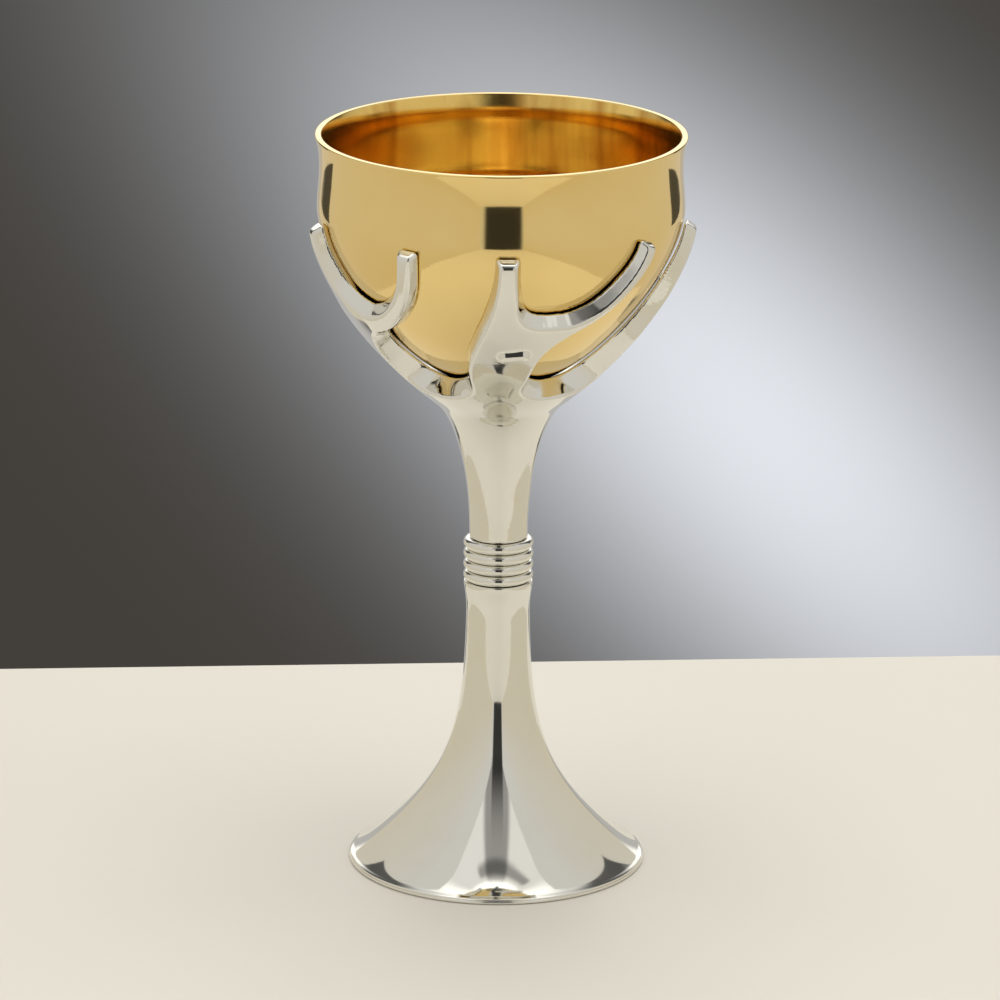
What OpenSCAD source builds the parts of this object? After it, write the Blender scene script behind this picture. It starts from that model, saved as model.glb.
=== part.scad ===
// Ceremonial chalice: a gilt bowl held by a casting of four forked branches, on a stem with a
// collar of round rings and a hollow trumpet foot. A tie rod clamps the pieces together.
// Origin at the centre of the foot on the table, +Z up, front towards -Y.

/* [Bowl] */
// Height of the lip above the table
lip_z = 165; // [162:0.5:168]
// Outer radius of the lip
lip_r = 40.4; // [39.8:0.1:41]
// Width of the flat land on top of the lip
lip_land = 1.5; // [1.2:0.1:1.8]
// Outer radius of the bowl at its widest
bulge_r = 39.85; // [39:0.05:40.5]
// Height of the widest place
bulge_z = 149; // [147:0.5:151]
// Height of the bowl's outer bottom
bowl_bottom_z = 108.5; // [108:0.1:109]
// Wall thickness of the bowl
bowl_wall = 1.2; // [1:0.1:1.4]

/* [Branches] */
// Gap between the bowl and the branches
branch_gap = 0.4; // [0.2:0.1:0.6]
// Thickness of a branch at its tip
branch_t = 2.7; // [2.2:0.1:3.2]
// Height where the outside of the branches would meet on the axis, which sets their thickness
// at the root
skin_bottom_z = 99; // [98.8:0.1:99.2]
// Width of a branch at its tip
tip_w = 5; // [4:0.2:6]
// Width of a main branch at its root
root_w = 12; // [11:0.5:14]
// Height of the main branch tips
main_tip_z = 147; // [144:0.5:148]
// Height of the side branch tips
side_tip_z = 148.5; // [146:0.5:149.5]
// Height of the web between two branches
web_z = 111.5; // [110.5:0.5:112.5]
// Length that the pruned twig stands out from the front branch
twig_out = 1.2; // [0.8:0.1:1.6]

/* [Stem] */
// Radius of the stem above the collar
neck_r = 6.35; // [6.3:0.05:6.8]
// Radius where the stem turns into branches
flare_r = 14.15; // [14.1:0.05:14.2]
// Height where the stem turns into branches
flare_z = 105.4; // [105.3:0.05:105.5]
// Radius of the waist of the lower stem
waist_r = 7; // [6.8:0.1:7.5]

/* [Collar] */
// Number of rings
ring_count = 4; // [4:1:4]
// Wire diameter of a ring
ring_wire_d = 2.4; // [2.2:0.1:2.4]
// Height of the top of the lower stem, where the rings start
collar_z = 64.4; // [62:0.2:66]
// Outer radius of the sleeve inside the rings
sleeve_r = 5.3; // [5:0.1:5.3]

/* [Foot] */
// Outer radius of the foot
foot_r = 32.9; // [31:0.1:35]
// Height of the rim ring that stands on the table
rim_h = 0.8; // [0.6:0.1:1]
// Wall thickness of the foot
foot_wall = 1.4; // [1.2:0.1:1.6]
// Height of the solid web that the washers press against
web_under_z = 32; // [30:0.5:34]

/* [Fixing] */
// Diameter of the tie rod
rod_d = 6; // [6:1:6]
// Width across the flats of the nut
nut_af = 10; // [10:1:10]
// Height of the nut
nut_h = 5; // [5:0.5:6]
// Thickness of either washer
washer_t = 1.6; // [1.4:0.1:1.6]

/* [Hidden] */

gilt = "goldenrod";
silver = "gainsboro";
steel = "slategray";
$fn = 96;
steps = 16;          // straight pieces along each curve
rod_r = rod_d / 2;
rod_hole_r = rod_r + 0.2;
fit_gap = 0.05;      // radial clearance of the sleeve in its sockets
far = 60;            // further out than any piece
near = 10.3;         // clear of the boss and the rod, and of the branches next to it

ring_pitch = ring_wire_d + 0.05;
neck_z = collar_z + ring_count * ring_pitch;
sleeve_low_z = collar_z - 8;
sleeve_top_z = neck_z + 7;

boss_r = 5;
boss_low_z = bowl_bottom_z - 12.5;
boss_hole_top_z = bowl_bottom_z - 2;
nut_top_z = web_under_z - 2 * washer_t;
rod_low_z = nut_top_z - nut_h - 2;

// Azimuths of the four forked branches, from the front towards +X, and how far each one's
// side branch is turned from it. The casting was bent by hand, so they differ a little.
fork_az = [0, 84, 178, 282];
side_turn = 25;      // the side branch is cut square to this azimuth in its fork

skin_r = bulge_r + branch_gap + branch_t;
// Curves as control points [r, z]
bowl_curve = [[bulge_r, bulge_z], [bulge_r, bulge_z - 12],
              [bulge_r / 2 - 1, bowl_bottom_z], [0, bowl_bottom_z]];
skin_curve = [[skin_r, bulge_z], [skin_r, bulge_z - 20],
              [skin_r / 2 - 8.5, skin_bottom_z], [0, skin_bottom_z]];
lip_curve = [[lip_r, lip_z], [lip_r - 2, lip_z - 5.5], [bulge_r, bulge_z + 4.5], [bulge_r, bulge_z]];
lip_inner_curve = [[lip_r - lip_land, lip_z], [lip_r - 3.2, lip_z - 5.5],
                   [bulge_r - bowl_wall, bulge_z + 4.5], [bulge_r - bowl_wall, bulge_z]];
neck_curve = [[neck_r, neck_z], [neck_r, neck_z + 19], [flare_r - 3.3, flare_z - 2.8],
              [flare_r, flare_z]];
foot_curve = [[waist_r, collar_z - 7], [waist_r + 0.5, 29], [0.31 * foot_r, 19],
              [foot_r - 1.7, 1.9]];
// Centre lines of the branches, [sideways, z], seen square to the branch
main_line = [[-2.5, web_z - 5], [-1.8, web_z + 7], [1.2, web_z + 18], [1.5, main_tip_z]];
side_line = [[-10, side_tip_z - 24], [0, side_tip_z - 17], [12, side_tip_z - 15],
             [15.5, side_tip_z]];

function bez(p, t) = pow(1 - t, 3) * p[0] + 3 * pow(1 - t, 2) * t * p[1]
                   + 3 * (1 - t) * t * t * p[2] + pow(t, 3) * p[3];
function bez_dir(p, t) = let (v = pow(1 - t, 2) * (p[1] - p[0]) + 2 * (1 - t) * t * (p[2] - p[1])
                                + t * t * (p[3] - p[2])) v / norm(v);
function left_of(v) = [-v[1], v[0]];
function reverse(list) = [for (i = [len(list) - 1:-1:0]) list[i]];

// Points along a curve, moved to its left by a distance that goes from d0 to d1
function curve(p, d0 = 0, d1 = 0) =
    [for (i = [0:steps]) let (t = i / steps)
        bez(p, t) + (d0 + (d1 - d0) * t) * left_of(bez_dir(p, t))];

// The outline of a strip along a curve, w0 wide at its start and w1 at its end
function strip(p, w0, w1) = concat(curve(p, w0 / 2, w1 / 2), reverse(curve(p, -w0 / 2, -w1 / 2)));

// The bowl's outer surface moved outwards by d, from the bulge down to the axis
function around_bowl(d) = concat([for (q = curve(bowl_curve, d, d)) if (q[0] > 0.01) q],
                                 [[0, bowl_bottom_z - d]]);

module revolve(points) {
    rotate_extrude() polygon(points);
}

// Everything inside the bowl's outer surface moved outwards by d, up to the bulge
module bowl_space(d, top_z) {
    revolve(concat([[0, top_z], [bulge_r + d, top_z]], around_bowl(d)));
}

// Everything inside the outside of the branches
module branch_space() {
    revolve(concat([[0, bulge_z + 3], [skin_r, bulge_z + 3]], curve(skin_curve)));
}

module bowl() {
    color(gilt)
    revolve(concat(curve(lip_curve), around_bowl(0), reverse(around_bowl(-bowl_wall)),
                   reverse(curve(lip_inner_curve))));
}

// Brazed under the bowl: its top follows the bowl, its foot rests in the cradle's socket
module bowl_boss() {
    color(gilt)
    difference() {
        translate([0, 0, boss_low_z])
            cylinder(h = bowl_bottom_z - boss_low_z + 1.5, r = boss_r);
        bowl_space(0, bulge_z);
        translate([0, 0, boss_low_z - 1])
            cylinder(h = boss_hole_top_z - boss_low_z + 1, r = rod_r);
    }
}

// A strip standing up in the plane square to azimuth az, from near the axis outwards
module standing_strip(az, points) {
    rotate([0, 0, az])
        translate([0, -near, 0])
            rotate([90, 0, 0])
                linear_extrude(height = far) polygon(points);
}

// The wide root of a main branch, with a hollow corner down to the web on each side
module root_fillet(az) {
    corner_r = 4;
    root_left = -12;
    root_right = 10;
    rotate([0, 0, az])
        translate([0, -near - 0.5, 0])
            rotate([90, 0, 0])
                linear_extrude(height = far)
                    difference() {
                        translate([root_left + 1, web_z - 1])
                            square([root_right - root_left - 1.5, corner_r + 1]);
                        translate([root_left, web_z + corner_r]) circle(r = corner_r);
                        translate([root_right, web_z + corner_r]) circle(r = corner_r);
                    }
}

// A forked branch: its outline cut from the skin that lies around the bowl
module fork(az) {
    intersection() {
        skin();
        union() {
            standing_strip(az, strip(main_line, root_w, tip_w));
            standing_strip(az + side_turn, strip(side_line, 1.8 * tip_w, tip_w));
            root_fillet(az);
        }
    }
}

// The space between the bowl's clearance and the outside of the branches
module skin() {
    difference() {
        branch_space();
        bowl_space(branch_gap, bulge_z + 4);
        translate([0, 0, skin_bottom_z - 1])
            cylinder(h = web_z - 1.8 - skin_bottom_z, r = far);
    }
}

// The stem above the collar and its flare, up to the web between the branches
module trunk() {
    difference() {
        intersection() {
            revolve(concat([[0, neck_z]], curve(neck_curve),
                           reverse([for (q = curve(skin_curve)) if (q[1] > flare_z + 0.5) q]),
                           [[0, bulge_z]]));
            cylinder(h = web_z, r = far);
        }
        bowl_space(branch_gap, bulge_z + 4);
    }
}

module branch_cradle() {
    color(silver)
    difference() {
        union() {
            trunk();
            for (az = fork_az) fork(az);
            twig_stub();
        }
        translate([0, 0, neck_z - 1])
            cylinder(h = 40, r = rod_hole_r);
        translate([0, 0, neck_z - 1])
            cylinder(h = sleeve_top_z - neck_z + 1, r = sleeve_r + fit_gap);
        translate([0, 0, boss_low_z])
            cylinder(h = 40, r = boss_r + 0.1);
    }
}

// The stub of a pruned twig, lying across the front branch
module twig_stub() {
    stub_r = 1.7;
    rotate([0, 0, 6])
        translate([-1.5, -31.2 - twig_out + stub_r, web_z + 9])
            rotate([0, 90, 0])
                union() {
                    cylinder(h = 3.4, r = stub_r, $fn = 32);
                    translate([0, 0, 3.4]) sphere(r = stub_r, $fn = 32);
                }
}

module collar_ring(i) {
    color(silver)
    rotate_extrude()
        translate([sleeve_r + ring_wire_d / 2, collar_z + (i - 0.5) * ring_pitch])
            circle(r = ring_wire_d / 2, $fn = 32);
}

module joint_sleeve() {
    color(steel)
    difference() {
        translate([0, 0, sleeve_low_z])
            cylinder(h = sleeve_top_z - sleeve_low_z, r = sleeve_r);
        translate([0, 0, sleeve_low_z - 1])
            cylinder(h = sleeve_top_z - sleeve_low_z + 2, r = rod_hole_r);
    }
}

module foot() {
    shoulder = [[foot_r - 0.9, 1.75], [foot_r - 0.35, 1.45], [foot_r - 0.15, rim_h]];
    color(silver)
    difference() {
        revolve(concat([[0, rim_h], [0, collar_z], [waist_r + 0.6, collar_z],
                        [waist_r + 0.55, collar_z - 0.6], [waist_r + 0.15, collar_z - 2.2]],
                       curve(foot_curve), shoulder));
        intersection() {
            revolve(concat([[0, 0], [0, collar_z - 7]], curve(foot_curve, -foot_wall, -foot_wall),
                           [[foot_r - 2.6, 0]]));
            cylinder(h = web_under_z, r = far);
        }
        cylinder(h = collar_z + 1, r = rod_hole_r);
        translate([0, 0, sleeve_low_z])
            cylinder(h = collar_z - sleeve_low_z + 1, r = sleeve_r + fit_gap);
    }
}

module foot_rim() {
    edge_r = rim_h / 2;
    color(silver)
    difference() {
        union() {
            cylinder(h = rim_h, r = foot_r - edge_r);
            rotate_extrude() translate([foot_r - edge_r, edge_r]) circle(r = edge_r, $fn = 32);
        }
        translate([0, 0, -1])
            cylinder(h = rim_h + 2, r = foot_r - 3.4);
    }
}

module tie_rod() {
    color(steel)
    translate([0, 0, rod_low_z])
        cylinder(h = boss_hole_top_z - rod_low_z, r = rod_r);
}

module cup_washer() {
    color(steel)
    translate([0, 0, web_under_z - washer_t])
        difference() {
            cylinder(h = washer_t, r = rod_r + 3);
            translate([0, 0, -1])
                cylinder(h = washer_t + 2, r = rod_hole_r);
        }
}

module lock_washer() {
    color(steel)
    translate([0, 0, nut_top_z])
        difference() {
            cylinder(h = washer_t, r = rod_r + 2.6);
            translate([0, 0, -1])
                cylinder(h = washer_t + 2, r = rod_r + 0.1);
            translate([0, -0.5, -1])
                cube([far, 1, washer_t + 2]);
        }
}

module hex_nut() {
    corner_r = nut_af / 2 / cos(30);
    color(steel)
    translate([0, 0, nut_top_z - nut_h])
        difference() {
            intersection() {
                cylinder(h = nut_h, r = corner_r, $fn = 6);
                cylinder(h = nut_h, r1 = nut_af / 2, r2 = nut_af / 2 + 2 * nut_h);
                cylinder(h = nut_h, r1 = nut_af / 2 + 2 * nut_h, r2 = nut_af / 2);
            }
            translate([0, 0, -1])
                cylinder(h = nut_h + 2, r = rod_r);
        }
}

bowl();
bowl_boss();
branch_cradle();
collar_ring(1);  // collar_ring_1
collar_ring(2);  // collar_ring_2
collar_ring(3);  // collar_ring_3
collar_ring(4);  // collar_ring_4
joint_sleeve();
foot();
foot_rim();
tie_rod();
cup_washer();
lock_washer();
hex_nut();
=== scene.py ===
"""Looks of the ceremonial chalice: fine lathe-turned pieces, a cast branch cradle and the studio.
All shapes are written in millimetres, in the row frame, and scaled to metres at the end."""

import math

import bpy
import numpy as np
from mathutils import Matrix


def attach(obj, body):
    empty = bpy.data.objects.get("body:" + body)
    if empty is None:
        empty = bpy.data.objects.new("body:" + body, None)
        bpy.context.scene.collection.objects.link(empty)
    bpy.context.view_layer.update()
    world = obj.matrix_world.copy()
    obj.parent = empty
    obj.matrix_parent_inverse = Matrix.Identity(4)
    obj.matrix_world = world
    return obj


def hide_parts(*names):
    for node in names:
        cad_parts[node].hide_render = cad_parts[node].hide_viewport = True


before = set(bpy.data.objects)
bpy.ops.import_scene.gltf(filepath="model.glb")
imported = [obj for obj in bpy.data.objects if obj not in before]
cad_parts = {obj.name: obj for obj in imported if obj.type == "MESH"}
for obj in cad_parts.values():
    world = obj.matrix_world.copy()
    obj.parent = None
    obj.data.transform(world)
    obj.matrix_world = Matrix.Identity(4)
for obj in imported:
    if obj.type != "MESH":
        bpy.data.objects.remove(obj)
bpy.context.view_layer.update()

MM = 0.001
TAU = 2 * math.pi


# ---------------------------------------------------------------- curves and profiles


def bezier(p0, p1, p2, p3, steps=40):
    """Points [r, z] along a cubic curve."""
    t = np.linspace(0, 1, steps + 1)[:, None]
    p0, p1, p2, p3 = (np.array(p, float) for p in (p0, p1, p2, p3))
    return (1 - t) ** 3 * p0 + 3 * (1 - t) ** 2 * t * p1 + 3 * (1 - t) * t * t * p2 + t ** 3 * p3


def offset(path, d):
    """The path moved to its left by d."""
    along = np.gradient(path, axis=0)
    along /= np.linalg.norm(along, axis=1)[:, None]
    return path + d * np.stack([-along[:, 1], along[:, 0]], 1)


def rounded(corners, arc_steps=6):
    """A closed outline from (r, z, radius) corners, each rounded by its radius."""
    points = []
    n = len(corners)
    for i, (r, z, radius) in enumerate(corners):
        here = np.array([r, z], float)
        if radius <= 0:
            points.append(here)
            continue
        before = np.array(corners[i - 1][:2], float) - here
        after = np.array(corners[(i + 1) % n][:2], float) - here
        before /= np.linalg.norm(before)
        after /= np.linalg.norm(after)
        half = math.acos(max(-1.0, min(1.0, float(before @ after)))) / 2
        reach = radius / math.tan(half)
        start, end = here + before * reach, here + after * reach
        middle = (before + after) / np.linalg.norm(before + after)
        centre = here + middle * radius / math.sin(half)
        a0, a1 = start - centre, end - centre
        turn = math.atan2(a0[0] * a1[1] - a0[1] * a1[0], float(a0 @ a1))
        for k in range(arc_steps + 1):
            a = turn * k / arc_steps
            c, s = math.cos(a), math.sin(a)
            points.append(centre + np.array([c * a0[0] - s * a0[1], s * a0[0] + c * a0[1]]))
    return np.array(points)


def plain(path):
    """Path points as corners that aren't rounded."""
    return [(r, z, 0) for r, z in path]


# ---------------------------------------------------------------- mesh builders


def make_object(name, verts, faces, sharp_deg=50):
    mesh = bpy.data.meshes.new(name)
    mesh.from_pydata((np.asarray(verts) * MM).tolist(), [], [tuple(f) for f in faces])
    mesh.validate()
    mesh.polygons.foreach_set("use_smooth", [True] * len(mesh.polygons))
    mesh.set_sharp_from_angle(angle=math.radians(sharp_deg))
    mesh.update()
    obj = bpy.data.objects.new(name, mesh)
    bpy.context.scene.collection.objects.link(obj)
    return obj


def sweep(rings, closed_section=True, closed_sweep=True):
    """Faces between rings of points, rings[i][j]. Points that coincide on the axis are merged."""
    n, m = rings.shape[:2]
    flat = rings.reshape(-1, 3)
    _, first, index = np.unique(np.round(flat, 5), axis=0, return_index=True, return_inverse=True)
    index = np.asarray(index).reshape(n, m)
    faces = []
    for i in range(n if closed_sweep else n - 1):
        for j in range(m if closed_section else m - 1):
            k, l = (i + 1) % n, (j + 1) % m
            quad = [index[i, j], index[k, j], index[k, l], index[i, l]]
            quad = [q for s, q in enumerate(quad) if q != quad[s - 1]]
            if len(quad) > 2:
                faces.append(quad)
    return flat[first], faces


def lathe(name, outline, around=192, wobble=0.0):
    """A closed outline [r, z] turned about the axis. wobble is the depth of the spinning marks."""
    outline = np.asarray(outline, float)
    area = np.sum(outline[:, 0] * np.roll(outline[:, 1], -1) - np.roll(outline[:, 0], -1) * outline[:, 1])
    if area < 0:
        outline = outline[::-1]
    angle = np.arange(around) * TAU / around
    r = outline[None, :, 0] + 0 * angle[:, None]
    z = outline[None, :, 1] + 0 * angle[:, None]
    if wobble:
        wave = np.sin(z * 1.9) * np.sin(3 * angle[:, None] + z * 0.05)
        wave = wave + 0.6 * np.sin(z * 0.7 + 5 * angle[:, None])
        r = r + wobble * wave * np.clip(r / 20, 0, 1)
    rings = np.stack([r * np.cos(angle)[:, None], r * np.sin(angle)[:, None], z], -1)
    return make_object(name, *sweep(rings))


# ---------------------------------------------------------------- the chalice's own curves

LIP_Z, LIP_R, LAND = 165.0, 40.4, 1.5
BULGE_R, BULGE_Z, BOTTOM_Z = 39.85, 149.0, 108.5
WALL, GAP = 1.2, 0.4
COLLAR_Z, WIRE_R, SLEEVE_R = 64.4, 1.2, 5.3
RING_PITCH = 2 * WIRE_R + 0.05
NECK_Z = COLLAR_Z + 4 * RING_PITCH
FOOT_R, RIM_H = 32.9, 0.8
WEB_UNDER_Z = 32.0           # underside of the web in the foot's throat
ROD_R, ROD_HOLE_R, BORE_R = 3.0, 3.05, 3.2
BOSS_R, BOSS_LOW, ROD_TOP = 5.0, BOTTOM_Z - 12.5, BOTTOM_Z - 2
SOCKET_R = SLEEVE_R + 0.05   # the sleeve's socket in the foot and in the neck
SLEEVE_LOW, SLEEVE_TOP, SOCKET_LOW = COLLAR_Z - 8, NECK_Z + 7, 56.4
CUP_H = 1.6                  # height of the cup washer
SKIN_R, MIDDLE_R = 42.95, 41.6   # outside and middle of the branches' tips

bowl_side = bezier((BULGE_R, BULGE_Z), (BULGE_R, 137), (19, BOTTOM_Z), (0, BOTTOM_Z), 72)
bowl_lip = bezier((LIP_R, LIP_Z), (38.4, 159.5), (BULGE_R, 153.5), (BULGE_R, BULGE_Z), 20)
skin_side = bezier((SKIN_R, BULGE_Z), (SKIN_R, 129), (13, 99), (0, 99), 72)
middle_side = bezier((MIDDLE_R, BULGE_Z), (MIDDLE_R, 133), (16, 103.7), (0, 103.7), 160)
neck_side = bezier((6.35, NECK_Z), (6.35, 93.2), (10.9, 102.6), (14.15, 105.4), 40)


# ---------------------------------------------------------------- turned pieces


def build_bowl():
    inner = offset(bowl_side, -WALL)
    inner = inner[inner[:, 0] > 0.3]
    inner_r, lip_edge = BULGE_R - WALL, 0.3
    inner_lip = bezier((LIP_R - LAND, LIP_Z), (37.2, 159.5), (inner_r, 153.5), (inner_r, BULGE_Z), 20)
    corners = [(LIP_R, LIP_Z, lip_edge)] + plain(bowl_lip[1:-1]) + plain(bowl_side)
    corners += [(0, BOTTOM_Z + WALL, 0)] + plain(inner[::-1]) + plain(inner_lip[::-1][1:-1])
    corners += [(LIP_R - LAND, LIP_Z, lip_edge)]
    return lathe("bowl_spun", rounded(corners), 256, wobble=0.004)


def build_boss():
    top = bowl_side[bowl_side[:, 0] < BOSS_R - 0.1]
    corners = [(ROD_HOLE_R, BOSS_LOW, 0), (BOSS_R, BOSS_LOW, 0.5), (BOSS_R, top[0, 1], 0)] + plain(top)
    corners += [(0, ROD_TOP, 0), (ROD_HOLE_R, ROD_TOP, 0)]
    return lathe("boss_turned", rounded(corners), 96)


def build_foot():
    flank = bezier((7.0, 57.4), (7.46, 31.55), (9.73, 20.65), (25.97, 6), 80)
    skirt = bezier((25.97, 6), (28.20, 3.99), (29.9, 2.65), (31.7, 1.5), 24)
    flank = np.concatenate([flank, skirt[1:]])
    shoulder = bezier((31.7, 1.5), (32.3, 1.2), (32.65, 1.1), (32.7, RIM_H), 10)
    wall, collar_r, inner_edge_r = 1.4, 7.6, 30.3
    inner = offset(flank, -wall)
    inner = inner[(inner[:, 1] < WEB_UNDER_Z) & (inner[:, 1] > RIM_H)]
    throat = bezier((collar_r, COLLAR_Z - 0.5), (7.5, 62.4), (7.0, 61), (7.0, 57.4), 14)
    corners = [(SOCKET_R, COLLAR_Z, 0), (collar_r, COLLAR_Z, 0.3)] + plain(throat[1:])
    corners += plain(flank[1:]) + plain(shoulder[1:]) + [(inner_edge_r, RIM_H, 0)] + plain(inner[::-1])
    corners += [(inner[0, 0] - 0.1, WEB_UNDER_Z, 0), (BORE_R, WEB_UNDER_Z, 0), (BORE_R, SOCKET_LOW, 0),
                (SOCKET_R, SOCKET_LOW, 0)]
    return lathe("foot_spun", rounded(corners), 256)


def build_rim():
    inner_r, edge, corner = FOOT_R - 3.4, 0.38, 0.15
    corners = [(inner_r, 0, corner), (FOOT_R, 0, edge), (FOOT_R, RIM_H, edge), (inner_r, RIM_H, corner)]
    return lathe("foot_rim_ring", rounded(corners, 8), 256)


def build_ring(i):
    """One round ring of the collar, a little out of true, as soldered rings are."""
    angle = np.arange(192) * TAU / 192
    wire = np.arange(40) * TAU / 40
    z0 = COLLAR_Z + (i - 0.5) * RING_PITCH
    tilt = 0.02 * np.sin(angle + 1.7 * i)
    r = SLEEVE_R + WIRE_R + WIRE_R * np.cos(wire)
    rings = np.stack([
        np.cos(angle)[:, None] * r,
        np.sin(angle)[:, None] * r,
        z0 + tilt[:, None] + WIRE_R * np.sin(wire)[None, :],
    ], -1)
    return make_object(f"collar_ring_{i}_wire", *sweep(rings))


def build_sleeve():
    edge, bore_edge = 0.3, 0.2
    corners = [(BORE_R, SLEEVE_LOW, bore_edge), (SLEEVE_R, SLEEVE_LOW, edge),
               (SLEEVE_R, SLEEVE_TOP, edge), (BORE_R, SLEEVE_TOP, bore_edge)]
    return lathe("joint_sleeve_turned", rounded(corners), 96)


def build_rod():
    """The tie rod, with a one millimetre thread cut on both ends."""
    low, top, pitch, depth = 21.8, ROD_TOP, 1.0, 0.55
    thread_low, thread_top = 36.0, 93.0
    z = np.concatenate([np.arange(low, thread_low, 0.1), np.linspace(thread_low, thread_top, 6),
                        np.arange(thread_top + 0.1, top, 0.1), [top]])
    around = 48
    angle = np.arange(around) * TAU / around
    turn = z[None, :] / pitch - angle[:, None] / TAU
    groove = np.abs((turn % 1) * 2 - 1)
    run_out = np.clip(np.maximum(thread_low - z, z - thread_top) / 1.0, 0, 1)
    end = np.clip(1.2 * (0.7 - np.minimum(z - low, top - z)), 0, 0.8)
    r = np.minimum(ROD_R - depth * groove * run_out, ROD_R - end)
    r = np.concatenate([np.zeros((around, 1)), r, np.zeros((around, 1))], 1)
    z = np.concatenate([[low], z, [top]])
    rings = np.stack([r * np.cos(angle)[:, None], r * np.sin(angle)[:, None], z + 0 * r], -1)
    return make_object("tie_rod_threaded", *sweep(rings, closed_section=False), sharp_deg=35)


def build_cup_washer():
    low, top = WEB_UNDER_Z - CUP_H, WEB_UNDER_Z
    edge, outer_r = 0.15, 6
    corners = [(BORE_R, low, edge), (5.2, low, 0.5), (outer_r, low + 0.7, 0.3), (outer_r, top, edge),
               (BORE_R, top, edge)]
    return lathe("cup_washer_turned", rounded(corners), 96)


def build_lock_washer():
    """A split spring washer: a square wire bent round, its two ends a little apart in height."""
    low, high = 28.85, 30.35
    inner_r, outer_r, half, edge = 3.15, 5.6, 0.62, 0.15
    section = rounded([(inner_r, -half, edge), (outer_r, -half, edge), (outer_r, half, edge),
                       (inner_r, half, edge)], 3)
    angle = np.radians(np.linspace(8, 352, 97))
    lift = np.linspace(-1, 1, len(angle)) ** 5 * 0.12
    centre = (low + high) / 2
    r = section[None, :, 0] + 0 * angle[:, None]
    z = centre + lift[:, None] + section[None, :, 1]
    rings = np.stack([r * np.cos(angle)[:, None], r * np.sin(angle)[:, None], z], -1)
    verts, faces = sweep(rings, closed_sweep=False)
    lookup = {tuple(np.round(v, 5)): i for i, v in enumerate(verts)}
    for ring, order in ((rings[0], 1), (rings[-1], -1)):
        faces.append([lookup[tuple(np.round(v, 5))] for v in ring][::order])
    return make_object("lock_washer_split", verts, faces)


def build_nut():
    """A hexagon nut with both ends turned to a cone, and a countersunk bore."""
    low, high, flat = 23.8, 28.8, 5.0
    angle = np.radians(np.arange(0, 360, 5))
    to_flat = (np.degrees(angle) % 60) - 30
    hexagon = flat / np.cos(np.radians(to_flat))
    heights = np.concatenate([[0, 0.1, 0.2, 0.3, 0.45], np.linspace(0.7, 4.3, 6), [4.55, 4.7, 4.8, 4.9, 5]])
    cone = flat - 0.1 + 1.75 * np.minimum(heights, heights[::-1])
    outside_r = np.minimum(hexagon[:, None], cone[None, :])
    bore_r, mouth_r = 2.62, 3.15
    bore = np.array([[bore_r, 4.6], [bore_r, 0.4]])
    count = len(angle)
    r = np.concatenate([outside_r, np.full((count, 1), mouth_r), np.tile(bore[:, 0], (count, 1)),
                        np.full((count, 1), mouth_r)], 1)
    z = low + np.concatenate([heights, [high - low], bore[:, 1], [0]])
    rings = np.stack([r * np.cos(angle)[:, None], r * np.sin(angle)[:, None], z + 0 * r], -1)
    return make_object("hex_nut_m6", *sweep(rings), sharp_deg=25)


# ---------------------------------------------------------------- the cast cradle of branches
# Its surface is where a distance field is zero: between the bowl and an outer skin, inside the
# outlines of the branches, with round outer edges and round crotches.


def round_max(a, b, k):
    return np.minimum(-k, np.maximum(a, b)) + np.hypot(np.maximum(a + k, 0), np.maximum(b + k, 0))


def round_min(a, b, k):
    return np.maximum(k, np.minimum(a, b)) - np.hypot(np.maximum(k - a, 0), np.maximum(k - b, 0))


def nearest(path, r, z):
    """Distance to the path, and the length along it of the nearest point."""
    best = np.full(r.shape, 1e9)
    place = np.zeros(r.shape)
    length = 0.0
    for a, b in zip(path[:-1], path[1:]):
        d = b - a
        size = float(np.hypot(*d))
        t = np.clip(((r - a[0]) * d[0] + (z - a[1]) * d[1]) / size ** 2, 0, 1)
        gap = np.hypot(r - a[0] - t * d[0], z - a[1] - t * d[1])
        closer = gap < best
        best = np.where(closer, gap, best)
        place = np.where(closer, length + t * size, place)
        length += size
    return best, place


def inside_sign(path, r, z):
    """-1 where r is inside a profile whose height grows along the path."""
    return np.where(r < np.interp(z, path[:, 1], path[:, 0]), -1.0, 1.0)


def blur(table, passes):
    for _ in range(passes):
        for axis in (0, 1):
            table = (np.roll(table, 1, axis) + 2 * table + np.roll(table, -1, axis)) / 4
    return table


class Table:
    """Values on a flat grid, read back with straight-line interpolation."""

    def __init__(self, low, step, values, wrap=False):
        self.low, self.step, self.values, self.wrap = low, step, values, wrap

    def __call__(self, a, b):
        a = (a - self.low[0]) / self.step[0]
        b = np.clip((b - self.low[1]) / self.step[1], 0, self.values.shape[1] - 1.001)
        n = self.values.shape[0]
        a = a % n if self.wrap else np.clip(a, 0, n - 1.001)
        i, j = a.astype(int), b.astype(int)
        u, v = a - i, b - j
        i1 = (i + 1) % n if self.wrap else i + 1
        t = self.values
        return (1 - u) * ((1 - v) * t[i, j] + v * t[i, j + 1]) + u * ((1 - v) * t[i1, j] + v * t[i1, j + 1])


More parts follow.
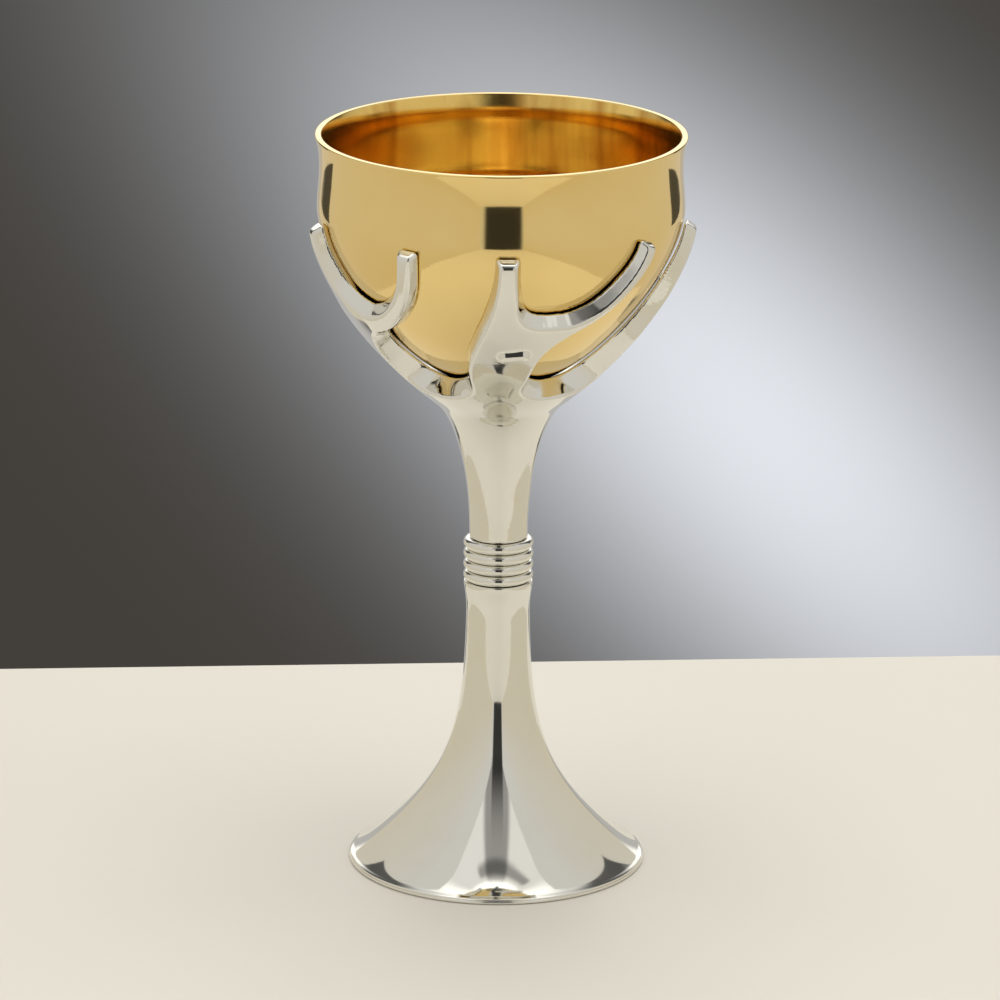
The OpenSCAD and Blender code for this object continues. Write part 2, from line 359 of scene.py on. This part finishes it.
# Centre lines as (azimuth in degrees from the front towards +X, height, width), root to tip
FORKS = [
    ([(-2, 108, 15), (-1.6, 116, 13.6), (-1, 121, 12.9), (-0.3, 127, 10.9), (0.8, 132, 9.0),
      (1.9, 137, 7.6), (2.2, 142.5, 6.2), (2.3, 147.4, 5.8)],
     [(2, 121.5, 9), (9, 126, 10), (17, 128.9, 8.8), (25, 130.6, 5.6), (33, 132.9, 4.5),
      (39, 136, 4.4), (44.4, 140.2, 4.5), (48.2, 144.4, 4.6), (49.9, 148.0, 4.6)]),
    ([(86, 108, 15), (85.5, 116, 13.6), (84.5, 121, 12), (83.6, 127, 9.8), (82.8, 133, 8),
      (82.4, 139, 6.6), (82.4, 143.5, 5.8), (82.6, 147.2, 5.3)],
     [(87, 121, 9), (95, 126, 9.8), (103, 129.2, 8.2), (111, 131.2, 5.6), (118, 133.6, 4.7),
      (124, 137, 4.6), (128.5, 141, 4.6), (131.6, 144.8, 4.7), (133, 147.8, 4.7)]),
    ([(180, 108, 15), (179.5, 116, 13.6), (179, 121, 12), (178.3, 127, 10), (177.6, 133, 8),
      (177.4, 139, 6.6), (177.7, 143.5, 5.7), (178, 147, 5.3)],
     [(182, 121, 9), (190, 125.6, 9.8), (198, 128.6, 8.4), (206, 130.8, 5.6), (213, 133.2, 4.7),
      (219, 136.8, 4.6), (223.6, 140.8, 4.6), (226.6, 144.6, 4.7), (228, 147.6, 4.7)]),
    ([(-82, 108, 15), (-79, 116, 13.6), (-75.5, 121, 12), (-71.5, 126, 10.6), (-70, 130, 8.8),
      (-71, 135, 7), (-73, 141, 5.9), (-73.6, 147.4, 5.4)],
     [(-72, 125, 9), (-60, 127.8, 8.4), (-50, 128.9, 7.2), (-42, 130.9, 6.6), (-35.2, 134.6, 5.9),
      (-31.2, 139, 5.4), (-29.5, 143.6, 5.2), (-28.9, 147.8, 5.1)]),
]
WINDOW_Z = 111.7       # height of the web between two branches
FORK_CROTCH, WEB_CROTCH = 7, 5
DRAFT = 0.46           # how far a branch's side leans in for each millimetre away from the bowl
WEB_DRAFT = -0.15      # the same for the top of the web, which leans outwards a little
OUTER_EDGE, INNER_EDGE = 0.55, 0.5
UNEVEN = 0.035         # depth of the casting's slow unevenness
TABLE_STEP = 0.15


def smooth_line(points, steps=6):
    """A curve through all the points."""
    p = np.array(points, float)
    p = np.concatenate([[2 * p[0] - p[1]], p, [2 * p[-1] - p[-2]]])
    t = np.linspace(0, 1, steps, endpoint=False)[:, None]
    spans = []
    for a, b, c, d in zip(p[:-3], p[1:-2], p[2:-1], p[3:]):
        square = (2 * a - 5 * b + 4 * c - d) * t ** 2
        cube = (3 * b - a - 3 * c + d) * t ** 3
        spans.append(0.5 * (2 * b + (c - a) * t + square + cube))
    return np.concatenate(spans + [p[-2:-1]])


up_middle = np.concatenate([middle_side[::-1], [[MIDDLE_R, 156]]])
middle_length = np.concatenate([[0], np.cumsum(np.hypot(*np.diff(up_middle, axis=0).T))])


def length_at(z):
    return np.interp(z, up_middle[:, 1], middle_length)


def edge_table():
    """Signed distance to the edge of the branches on the unrolled skin, by azimuth and length."""
    step_az, step_l = 0.25, 0.2
    past_tip, cut_edge = 3, 0.9      # a branch runs on past its tip, and is then cut off square
    az = np.arange(0, 360, step_az)
    length = np.arange(0, middle_length[-1], step_l)
    radius = np.interp(length, middle_length, up_middle[:, 0])
    total = None
    for lines in FORKS:
        fork = None
        for line in lines:
            path = smooth_line(line)
            end_az, end_l = path[-1, 0], length_at(path[-1, 1])
            a_pts = np.append(path[:, 0], 2 * path[-1, 0] - path[-2, 0])
            l_pts = np.append(length_at(path[:, 1]), end_l + past_tip)
            half = np.append(path[:, 2], path[-1, 2]) / 2
            best = np.full((len(az), len(length)), 1e3)
            for i in range(len(a_pts) - 1):
                x = ((az - a_pts[i] + 180) % 360 - 180)[:, None] * np.radians(radius)[None, :]
                y = (length - l_pts[i])[None, :]
                dx = (a_pts[i + 1] - a_pts[i]) * np.radians(radius)[None, :]
                dy = l_pts[i + 1] - l_pts[i]
                t = np.clip((x * dx + y * dy) / (dx * dx + dy * dy), 0, 1)
                gap = np.hypot(x - t * dx, y - t * dy) - (half[i] + t * (half[i + 1] - half[i]))
                best = np.minimum(best, gap)
            lean = math.radians(path[-1, 0] - path[-3, 0]) * MIDDLE_R
            rise = end_l - length_at(path[-3, 1])
            size = math.hypot(lean, rise)
            x = ((az - end_az + 180) % 360 - 180)[:, None] * np.radians(radius)[None, :]
            beyond = (x * lean + (length - end_l)[None, :] * rise) / size
            best = round_max(best, beyond, cut_edge)
            fork = best if fork is None else round_min(fork, best, FORK_CROTCH)
        total = fork if total is None else np.minimum(total, fork)
    return Table((0, 0), (step_az, step_l), blur(total, 3), wrap=True)


def profile_tables():
    """Distance outside the skin, distance outside the bowl, and length up the middle, by r and z."""
    low_z, join_z, above_z, smoothing = 72, 105.9, 160, 8
    r, z = np.meshgrid(np.arange(0, 48, TABLE_STEP), np.arange(low_z, 153, TABLE_STEP), indexing="ij")
    skin = skin_side[::-1]
    skin = skin[skin[:, 1] > join_z]
    outer = np.concatenate([[[neck_side[0, 0], 60]], neck_side[:-1], skin, [[SKIN_R, above_z]]])
    for _ in range(smoothing):
        outer[1:-1] = (outer[:-2] + 2 * outer[1:-1] + outer[2:]) / 4
    inner = np.concatenate([bowl_side[::-1], [[BULGE_R, above_z]]])
    low, step = (0, low_z), (TABLE_STEP, TABLE_STEP)
    out = nearest(outer, r, z)[0] * inside_sign(outer, r, z)
    inn = nearest(inner, r, z)[0] * np.where(z < BOTTOM_Z, 1.0, inside_sign(inner, r, z))
    return Table(low, step, out), Table(low, step, inn), Table(low, step, nearest(up_middle, r, z)[1])


edge_at = edge_table()
outer_at, bowl_at, along_at = profile_tables()
STUB = ((1.2, 123.9), (4.8, 124.2))        # the twig's ends, sideways and up
STUB_R, STUB_OUT, STUB_FILLET = 1.6, 1.1, 0.7
STUB_SKIN_R = np.interp(124, skin_side[::-1, 1], skin_side[::-1, 0])
FLARE_Z = 107              # below this the casting is the round neck


def cradle_field(p):
    """Distance outside (+) or inside (-) the casting, for points p."""
    x, y, z = p[..., 0], p[..., 1], p[..., 2]
    r = np.hypot(x, y)
    az = np.degrees(np.arctan2(x, -y)) % 360
    wave = np.sin(0.31 * x + 0.17 * z) * np.sin(0.23 * y - 0.29 * z + 1)
    wave = wave + 0.5 * np.sin(0.7 * x - 0.5 * y + 0.45 * z)
    out = outer_at(r, z) + UNEVEN * wave
    along = along_at(r, z)
    edge = edge_at(az, along)
    clear = GAP - bowl_at(r, z)
    side = (edge - DRAFT * clear) / math.hypot(1, DRAFT)
    side = round_min(side, along - length_at(WINDOW_Z) - WEB_DRAFT * clear, WEB_CROTCH)
    body = np.where(z < FLARE_Z, out, round_max(out, side, OUTER_EDGE))
    a, b = (np.array([x_end, -STUB_SKIN_R - STUB_OUT + STUB_R, z_end]) for x_end, z_end in STUB)
    t = np.clip(((p - a) @ (b - a)) / ((b - a) @ (b - a)), 0, 1)
    twig = np.linalg.norm(p - a - t[..., None] * (b - a), axis=-1) - STUB_R
    body = round_min(body, twig, STUB_FILLET)
    body = round_max(body, clear, INNER_EDGE)
    body = round_max(body, NECK_Z + 0.02 - z, 0.25)
    body = np.maximum(body, BORE_R - r)
    socket = np.maximum(r - SOCKET_R, z - SLEEVE_TOP)
    boss_hole = np.maximum(r - BOSS_R - 0.1, BOSS_LOW - z)
    return np.maximum(body, -np.minimum(socket, boss_hole))


def surface_net(low, cell, shape):
    """Quads over the zero surface of the cradle's field, one corner in each cell it crosses."""
    axes = [low[i] + cell * np.arange(shape[i]) for i in range(3)]
    field = np.empty(shape, np.float32)
    xy = np.stack(np.meshgrid(axes[0], axes[1], indexing="ij"), -1)
    for k, z in enumerate(axes[2]):
        field[:, :, k] = cradle_field(np.concatenate([xy, np.full(xy.shape[:2] + (1,), z)], -1))
    inside = field < 0
    count = np.zeros([n - 1 for n in shape], np.int8)
    steps = [(i, j, k) for i in (0, 1) for j in (0, 1) for k in (0, 1)]
    for i, j, k in steps:
        count += inside[i:shape[0] - 1 + i, j:shape[1] - 1 + j, k:shape[2] - 1 + k]
    active = (count > 0) & (count < 8)
    cells = np.argwhere(active)
    index = np.full(active.shape, -1, np.int64)
    index[active] = np.arange(len(cells))
    total, number = np.zeros((len(cells), 3)), np.zeros(len(cells))
    for a in steps:
        for axis in range(3):
            if a[axis]:
                continue
            b = list(a)
            b[axis] = 1
            fa = field[tuple((cells + a).T)]
            fb = field[tuple((cells + b).T)]
            cross = (fa < 0) != (fb < 0)
            t = (fa / np.where(cross, fa - fb, 1))[:, None]
            spot = np.array(a) + t * (np.array(b) - np.array(a))
            total += np.where(cross[:, None], spot, 0)
            number += cross
    verts = np.array(low) + cell * (cells + total / number[:, None])
    faces = []
    for axis in range(3):
        u, v = (axis + 1) % 3, (axis + 2) % 3
        first = [slice(1, n - 1) for n in shape]
        first[axis] = slice(0, shape[axis] - 1)
        second = list(first)
        second[axis] = slice(1, shape[axis])
        here, there = inside[tuple(first)], inside[tuple(second)]
        edges = np.argwhere(here != there)
        start = np.array([s.start for s in first])
        nodes = edges + start
        flip = here[tuple(edges.T)]
        du, dv = np.zeros(3, int), np.zeros(3, int)
        du[u], dv[v] = 1, 1
        quad = [index[tuple((nodes - s).T)] for s in (0 * du, du, du + dv, dv)]
        quad = np.stack(quad, 1)
        faces.append(np.where(flip[:, None], quad[:, ::-1], quad))
    return verts, np.concatenate(faces)


def settle(verts, faces, passes=3):
    """Moves the corners onto the exact surface, then evens out the last unevenness."""
    reach, most = 0.06, 0.2
    for _ in range(passes):
        value = cradle_field(verts)
        slope = np.stack([(cradle_field(verts + reach * e) - cradle_field(verts - reach * e)) / (2 * reach)
                          for e in np.eye(3)], 1)
        size = np.maximum((slope ** 2).sum(1), 0.2)
        verts = verts - np.clip(value / size, -most, most)[:, None] * slope
    a = np.concatenate([faces[:, i] for i in range(4)])
    b = np.concatenate([faces[:, (i + 1) % 4] for i in range(4)])
    a, b = np.concatenate([a, b]), np.concatenate([b, a])
    degree = np.bincount(a, minlength=len(verts))[:, None]
    for weight in (0.5, -0.52) * 4:
        mean = np.stack([np.bincount(a, verts[b, i], len(verts)) for i in range(3)], 1) / degree
        verts = verts + weight * (mean - verts)
    return verts


def build_cradle():
    cell = 0.32
    reach, low, high = 44.5, 73.6, 150.5
    count = int(2 * reach / cell)
    verts, faces = surface_net((-reach, -reach, low), cell, (count, count, int((high - low) / cell)))
    return make_object("branch_cradle_cast", settle(verts, faces), faces, sharp_deg=180)


# ---------------------------------------------------------------- materials


def node_maker(material):
    tree = material.node_tree
    tree.nodes.clear()

    def node(kind, **values):
        made = tree.nodes.new(kind)
        for name, value in values.items():
            if name.startswith("_"):
                made.inputs[name[1:].replace("_", " ")].default_value = value
            else:
                setattr(made, name, value)
        return made

    return tree, node


def ramp(tree, source, low, high, to_low, to_high):
    made = tree.nodes.new("ShaderNodeMapRange")
    for name, value in zip(("From Min", "From Max", "To Min", "To Max"), (low, high, to_low, to_high)):
        made.inputs[name].default_value = value
    tree.links.new(source, made.inputs["Value"])
    return made.outputs["Result"]


def metal(name, base, worn, rough, rough_spread, spin=0.0, pits=0.0, grain=0.0, brushed=0.0,
          streaks=0.0):
    """A polished metal. worn is its colour where it is rubbed or toned; spin is the depth of
    fine turning marks around the axis, pits of small casting flaws, grain of an all-over haze,
    brushed is how strongly such marks spread a reflection across themselves, and streaks is
    how far upright bands of the metal are painted a darker orange, as painted reflection
    streaks of gold seen in gold."""
    material = bpy.data.materials.new(name)
    material.use_nodes = True
    tree, node = node_maker(material)
    link = tree.links.new
    place = node("ShaderNodeTexCoord").outputs["Object"]
    shader = node("ShaderNodeBsdfPrincipled")
    shader.inputs["Metallic"].default_value = 1.0
    if brushed:
        shader.inputs["Anisotropic"].default_value = brushed
        around = node("ShaderNodeTangent", direction_type="RADIAL", axis="Z")
        link(around.outputs["Tangent"], shader.inputs["Tangent"])
    output = node("ShaderNodeOutputMaterial")
    link(shader.outputs["BSDF"], output.inputs["Surface"])
    cloud = node("ShaderNodeTexNoise", _Scale=70.0, _Detail=5.0, _Roughness=0.6)
    link(place, cloud.inputs["Vector"])
    fine = node("ShaderNodeTexNoise", _Scale=900.0, _Detail=4.0, _Roughness=0.65)
    link(place, fine.inputs["Vector"])
    mix = node("ShaderNodeMix", data_type="RGBA")
    mix.inputs["A"].default_value = (*base, 1)
    mix.inputs["B"].default_value = (*worn, 1)
    link(ramp(tree, cloud.outputs["Fac"], 0.42, 0.72, 0.0, 0.55), mix.inputs["Factor"])
    link(mix.outputs["Result"], shader.inputs["Base Color"])
    # Upright bands painted a darker orange into the base colour: painted reflection streaks standing in for
    # gold reflected in gold inside the bowl.
    if streaks:
        upright = node("ShaderNodeMapping")
        upright.inputs["Scale"].default_value = (1, 1, 0.08)
        link(place, upright.inputs["Vector"])
        bands = node("ShaderNodeTexNoise", _Scale=110.0, _Detail=3.0)
        link(upright.outputs["Vector"], bands.inputs["Vector"])
        painted_streak_mix = node("ShaderNodeMix", data_type="RGBA")
        painted_streak_mix.inputs["B"].default_value = (0.55, 0.27, 0.05, 1)
        link(mix.outputs["Result"], painted_streak_mix.inputs["A"])
        link(ramp(tree, bands.outputs["Fac"], 0.45, 0.6, 0.0, streaks), painted_streak_mix.inputs["Factor"])
        link(painted_streak_mix.outputs["Result"], shader.inputs["Base Color"])
    haze = node("ShaderNodeMath", operation="ADD")
    link(ramp(tree, cloud.outputs["Fac"], 0.3, 0.7, rough, rough + rough_spread), haze.inputs[0])
    link(ramp(tree, fine.outputs["Fac"], 0.5, 0.75, 0.0, rough_spread * 0.8), haze.inputs[1])
    link(haze.outputs["Value"], shader.inputs["Roughness"])
    bump = node("ShaderNodeBump", _Strength=1.0, _Distance=0.001)
    height = node("ShaderNodeMath", operation="ADD")
    link(ramp(tree, fine.outputs["Fac"], 0.2, 0.8, 0.0, grain), height.inputs[0])
    link(height.outputs["Value"], bump.inputs["Height"])
    extra = node("ShaderNodeMath", operation="ADD")
    link(extra.outputs["Value"], height.inputs[1])
    if spin:
        split = node("ShaderNodeSeparateXYZ")
        link(place, split.inputs["Vector"])
        rows = node("ShaderNodeCombineXYZ")
        link(split.outputs["Z"], rows.inputs["Z"])
        marks = node("ShaderNodeTexNoise", _Scale=9000.0, _Detail=3.0)
        link(rows.outputs["Vector"], marks.inputs["Vector"])
        link(ramp(tree, marks.outputs["Fac"], 0.2, 0.8, 0.0, spin), extra.inputs[0])
    if pits:
        dots = node("ShaderNodeTexVoronoi", _Scale=260.0)
        link(place, dots.inputs["Vector"])
        link(ramp(tree, dots.outputs["Distance"], 0.0, 0.09, -pits, 0.0), extra.inputs[1])
    link(bump.outputs["Normal"], shader.inputs["Normal"])
    return material


GILT = metal("gilt_polished", (0.91, 0.69, 0.30), (0.88, 0.64, 0.25), 0.05, 0.03, spin=0.0005, grain=0.0003)
GILT_INSIDE = metal("gilt_spun_inside", (0.95, 0.67, 0.21), (0.91, 0.60, 0.16), 0.12, 0.04, spin=0.003,
                    grain=0.0003, brushed=0.9, streaks=0.75)
SILVER = metal("silver_plate_polished", (0.84, 0.83, 0.775), (0.80, 0.78, 0.70), 0.04, 0.03, grain=0.0004)
SILVER_CAST = metal("silver_plate_cast", (0.84, 0.83, 0.775), (0.79, 0.765, 0.68), 0.05, 0.04, pits=0.0012,
                    grain=0.0006)
BRASS = metal("brass_turned", (0.62, 0.42, 0.16), (0.40, 0.25, 0.09), 0.22, 0.15, spin=0.004, grain=0.002)
STEEL = metal("zinc_steel", (0.45, 0.46, 0.47), (0.25, 0.24, 0.22), 0.3, 0.2, grain=0.005)


# ---------------------------------------------------------------- pieces on their body


def put(piece, material, slot, *nodes):
    piece.data.materials.append(material)
    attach(piece, "root")
    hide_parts(*nodes)


bowl = build_bowl()
put(bowl, GILT, "gilt", "bowl")
bowl.data.materials.append(GILT_INSIDE)
for face in bowl.data.polygons:
    spot = face.center
    inwards = spot.x * face.normal.x + spot.y * face.normal.y < 0
    face.material_index = int(inwards and spot.z < (LIP_Z - 0.4) * MM)
put(build_boss(), BRASS, "brass", "bowl_boss")
put(build_cradle(), SILVER_CAST, "silver_plate", "branch_cradle")
for ring in (1, 2, 3, 4):
    put(build_ring(ring), SILVER, "silver_plate", f"collar_ring_{ring}")
put(build_sleeve(), BRASS, "brass", "joint_sleeve")
put(build_foot(), SILVER, "silver_plate", "foot")
put(build_rim(), SILVER, "silver_plate", "foot_rim")
put(build_rod(), STEEL, "steel", "tie_rod")
put(build_cup_washer(), STEEL, "steel", "cup_washer")
put(build_lock_washer(), STEEL, "steel", "lock_washer")
put(build_nut(), STEEL, "steel", "hex_nut")


# ---------------------------------------------------------------- studio


def build_table():
    """A pale table whose back edge lies a little behind the chalice."""
    back, front, side, thick, edge = 139, -640, 1500, 30, 3
    turn = math.radians(3.9)       # the table stands a little askew
    rows = [(back - edge, 0)] + [(back - edge + edge * math.sin(a), -edge + edge * math.cos(a))
                                 for a in np.linspace(0.2, math.pi / 2, 6)] + [(back, -thick)]
    rows = [(front, -thick), (front, 0)] + rows
    verts = [(s * side, y + (y > 0) * s * side * math.tan(turn), z) for y, z in rows for s in (-1, 1)]
    faces = [(2 * i, 2 * i + 1, 2 * i + 3, 2 * i + 2) for i in range(len(rows) - 1)]
    return make_object("table", verts, faces)


def table_material():
    material = bpy.data.materials.new("cream_table")
    material.use_nodes = True
    tree, node = node_maker(material)
    shader = node("ShaderNodeBsdfPrincipled")
    shader.inputs["Roughness"].default_value = 0.6
    output = node("ShaderNodeOutputMaterial")
    tree.links.new(shader.outputs["BSDF"], output.inputs["Surface"])
    place = node("ShaderNodeTexCoord").outputs["Object"]
    cloud = node("ShaderNodeTexNoise", _Scale=6.0, _Detail=6.0)
    tree.links.new(place, cloud.inputs["Vector"])
    mix = node("ShaderNodeMix", data_type="RGBA")
    mix.inputs["A"].default_value = (0.638, 0.612, 0.548, 1)
    mix.inputs["B"].default_value = (0.614, 0.584, 0.515, 1)
    tree.links.new(cloud.outputs["Fac"], mix.inputs["Factor"])
    tree.links.new(mix.outputs["Result"], shader.inputs["Base Color"])
    return material


table = build_table()
table.data.materials.append(table_material())


def ceiling_light(name, x, y, z, size, power):
    """A soft light over the table, which doesn't show as a shape in the polished metal."""
    light = bpy.data.lights.new(name, "AREA")
    light.shape = "SQUARE"
    light.size = size
    light.energy = power
    light.color = (1, 0.98, 0.95)
    lamp = bpy.data.objects.new(name, light)
    bpy.context.scene.collection.objects.link(lamp)
    lamp.location = (x, y, z)
    lamp.visible_camera = False
    lamp.visible_glossy = False


ceiling_light("ceiling_light", 0.1, 0.1, 1.6, 1.4, 16)


def side_card(name, x, front, back, top):
    """A glowing card beside the table, creamy low down, which shows only as a reflection in the
    metal. Its upper back corner is cut away."""
    low, cut_y, cut_z, top_y = -25, 95, 105, 30
    corners = [(x, front, low), (x, back, low), (x, back, cut_z), (x, cut_y, cut_z), (x, top_y, top),
               (x, front, top)]
    card = make_object(name, corners, [range(6)])
    material = bpy.data.materials.new(name)
    material.use_nodes = True
    tree, node = node_maker(material)
    place = node("ShaderNodeTexCoord").outputs["Object"]
    split = node("ShaderNodeSeparateXYZ")
    tree.links.new(place, split.inputs["Vector"])
    shade = node("ShaderNodeValToRGB")
    tree.links.new(ramp(tree, split.outputs["Z"], 0.0, 0.3, 0.0, 1.0), shade.inputs["Fac"])
    shade.color_ramp.elements[0].position = 0.08
    shade.color_ramp.elements[0].color = (0.65, 0.59, 0.47, 1)
    shade.color_ramp.elements[1].position = 0.75
    shade.color_ramp.elements[1].color = (0.665, 0.65, 0.62, 1)
    shade.color_ramp.elements.new(0.3).color = (0.66, 0.62, 0.54, 1)
    shine = node("ShaderNodeEmission")
    tree.links.new(shade.outputs["Color"], shine.inputs["Color"])
    tree.links.new(shine.outputs["Emission"], node("ShaderNodeOutputMaterial").inputs["Surface"])
    card.data.materials.append(material)
    card.visible_camera = False
    card.visible_diffuse = False
    card.visible_shadow = False


side_card("card_left", -142, -640, 250, 340)
side_card("card_right", 150, -640, 250, 340)

world = bpy.data.worlds.new("studio")
bpy.context.scene.world = world
world.use_nodes = True
sky, sky_node = node_maker(world)


def calc(operation, a, b=0.0):
    made = sky_node("ShaderNodeMath", operation=operation)
    for socket, value in zip(made.inputs, (a, b)):
        if isinstance(value, (int, float)):
            socket.default_value = value
        else:
            sky.links.new(value, socket)
    return made.outputs["Value"]


def rise(value, low, high):
    """0 below low, 1 above high, smooth between."""
    made = sky_node("ShaderNodeMapRange", interpolation_type="SMOOTHSTEP")
    made.inputs["From Min"].default_value = low
    made.inputs["From Max"].default_value = high
    sky.links.new(value, made.inputs["Value"])
    return made.outputs["Result"]


def band(value, low, high, soft):
    """1 between low and high, 0 outside."""
    return calc("MULTIPLY", rise(value, low - soft, low + soft),
                calc("SUBTRACT", 1.0, rise(value, high - soft, high + soft)))


def dimmed(light, share, *bands):
    """The light, less a share of it inside all the bands."""
    for b in bands:
        share = calc("MULTIPLY", b, share)
    return calc("MULTIPLY", light, calc("SUBTRACT", 1.0, share))


def lit(light, amount, *bands):
    """The light, with an amount added inside all the bands."""
    for b in bands:
        amount = calc("MULTIPLY", b, amount)
    return calc("ADD", light, amount)


# The room that the metal reflects: a white tent, by azimuth from the front and height above level
split = sky_node("ShaderNodeSeparateXYZ")
sky.links.new(sky_node("ShaderNodeTexCoord").outputs["Generated"], split.inputs["Vector"])
dx, dy, dz = (split.outputs[k] for k in "XYZ")
azimuth = calc("DEGREES", calc("ARCTAN2", dx, calc("MULTIPLY", dy, -1.0)))
aside = calc("ABSOLUTE", azimuth)
height = calc("DEGREES", calc("ARCSINE", dz))
tent = calc("ADD", 0.62, calc("MULTIPLY", rise(height, 0, 55), 0.22))
tent = calc("SUBTRACT", tent, calc("MULTIPLY", rise(aside, 60, 150), 0.12))
# The dark slot for the camera, the gap over it and the edge of the roof
tent = dimmed(tent, 0.94, band(azimuth, -10, 13, 1.5), rise(height, -60, -50),
              calc("SUBTRACT", 1.0, rise(height, 20, 75)))
tent = dimmed(tent, 0.6, band(azimuth, -24, 25, 5), band(height, 24, 82, 6))
tent = dimmed(tent, 0.6, band(azimuth, -40, 75, 4), band(height, 73, 78, 1.5))
# The bright roof
tent = lit(tent, 1.0, rise(height, 79, 84))
tent = lit(tent, 0.6, rise(aside, 80, 110), rise(height, 60, 72))
# The dark back corners, and the bright back wall between them
tent = dimmed(tent, 0.85, band(aside, 123, 152, 5), calc("SUBTRACT", 1.0, rise(height, 48, 60)))
tent = lit(tent, 0.6, rise(aside, 146, 160), band(height, 31, 66, 5))
tent = lit(tent, 0.95, rise(aside, 140, 165), band(height, 9, 30, 3))
glow = sky_node("ShaderNodeCombineColor")
for channel, tint in (("Red", 1.0), ("Green", 0.985), ("Blue", 0.95)):
    sky.links.new(calc("MULTIPLY", tent, tint), glow.inputs[channel])

# The wall behind, as the camera sees it: a soft diagonal spot of light on grey
across = calc("ADD", calc("ADD", calc("MULTIPLY", dx, 0.69), calc("MULTIPLY", dz, 0.752)), 0.176)
along = calc("ADD", calc("SUBTRACT", calc("MULTIPLY", dx, 0.72), calc("MULTIPLY", dz, 0.72)), -0.229)
spot = calc("ADD", calc("POWER", calc("ABSOLUTE", calc("DIVIDE", across, 0.039)), 2.0),
            calc("POWER", calc("ABSOLUTE", calc("DIVIDE", along, 0.095)), 2.0))
spot = calc("EXPONENT", calc("MULTIPLY", spot, -1.0))
wall = sky_node("ShaderNodeMix", data_type="RGBA")
wall.inputs["A"].default_value = (0.056, 0.051, 0.044, 1)
wall.inputs["B"].default_value = (0.76, 0.785, 0.83, 1)
sky.links.new(spot, wall.inputs["Factor"])
choice = sky_node("ShaderNodeMix", data_type="RGBA")
sky.links.new(sky_node("ShaderNodeLightPath").outputs["Is Camera Ray"], choice.inputs["Factor"])
sky.links.new(glow.outputs["Color"], choice.inputs["A"])
sky.links.new(wall.outputs["Result"], choice.inputs["B"])
backdrop = sky_node("ShaderNodeBackground")
sky.links.new(choice.outputs["Result"], backdrop.inputs["Color"])
sky.links.new(backdrop.outputs["Background"], sky_node("ShaderNodeOutputWorld").inputs["Surface"])

CAMERA_AT, DOWN, ROLL, LENS = (0.00026, -1.25, 0.457), 16.68, 0.446, 214
camera_data = bpy.data.cameras.new("camera")
camera_data.sensor_width = 36
camera_data.lens = LENS
camera_data.clip_end = 50
camera = bpy.data.objects.new("camera", camera_data)
bpy.context.scene.collection.objects.link(camera)
camera.matrix_world = (Matrix.Translation(CAMERA_AT)
                       @ Matrix.Rotation(math.radians(90 - DOWN), 4, "X")
                       @ Matrix.Rotation(math.radians(ROLL), 4, "Z"))
bpy.context.scene.camera = camera
bpy.context.scene.view_settings.view_transform = "Standard"
